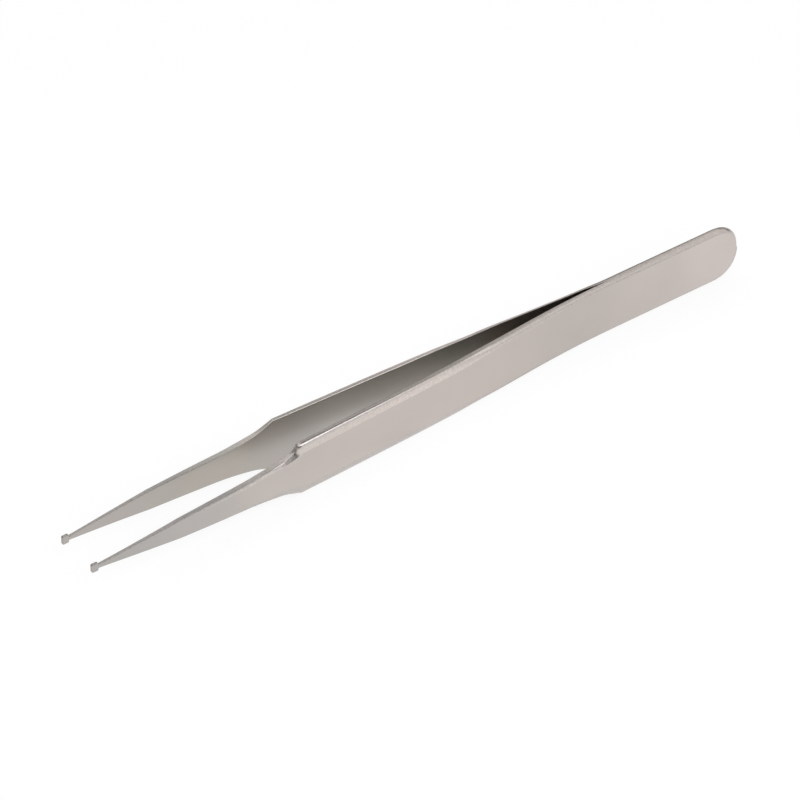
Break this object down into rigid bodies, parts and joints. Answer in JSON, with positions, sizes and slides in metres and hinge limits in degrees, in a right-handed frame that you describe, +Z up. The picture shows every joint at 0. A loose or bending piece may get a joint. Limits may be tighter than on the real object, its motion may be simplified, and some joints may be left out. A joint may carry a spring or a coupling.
{
  "type": "fine tweezers",
  "caption": "Slim steel tweezers: bowed spring arms joined at a round tail, stepping down through a shoulder to long tapered tips with small square ends, for handling tiny electronic parts",
  "frame": {"origin": "Centre of the bounding box at its lowest level: half way between tail end and tips, on the plane that the two arms share, at the long narrow edges that the tweezers stand on.", "axes": "+X runs from the tips to the tail, +Y across the opening of the arms, from the left arm to the right arm, and +Z up across the width of each arm."},
  "size_m": [0.12, 0.0086, 0.0093],
  "materials": {
    "satin_steel": "satin ground stainless steel"
  },
  "bodies": {
    "root": {"left_arm": "satin_steel", "right_arm": "satin_steel"}
  },
  "joints": []
}
